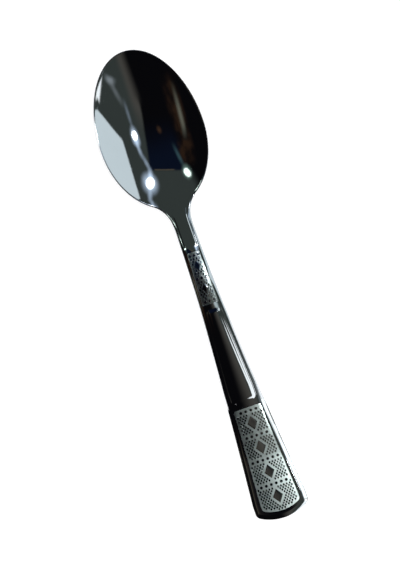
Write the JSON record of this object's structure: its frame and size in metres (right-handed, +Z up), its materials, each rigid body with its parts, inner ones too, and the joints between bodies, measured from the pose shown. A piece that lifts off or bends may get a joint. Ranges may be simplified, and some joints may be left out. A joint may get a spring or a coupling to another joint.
{
  "type": "teaspoon",
  "caption": "Polished stainless steel teaspoon with an egg-shaped bowl, a channelled neck, a raised plain panel and frosted etched panels of diamonds and dots.",
  "frame": {"origin": "on the table, under the middle of the spoon's outer box", "axes": "+Y along the spoon towards the tip of the bowl, +X across it, +Z up out of the bowl"},
  "size_m": [0.0308, 0.14, 0.0167],
  "materials": {
    "polished_steel": "mirror-polished stainless steel with fine wear scratches",
    "etched_steel": "frosted, etched stainless steel"
  },
  "bodies": {
    "root": {"bowl": "polished_steel", "neck": "polished_steel", "upper_stem": "polished_steel", "stem": "polished_steel", "handle_end": "polished_steel", "upper_etched_field": "etched_steel", "plain_panel": "polished_steel", "end_etched_field": "etched_steel", "upper_diamonds": "polished_steel", "upper_dots": "polished_steel", "end_diamonds": "polished_steel", "end_dots": "polished_steel"}
  },
  "joints": []
}
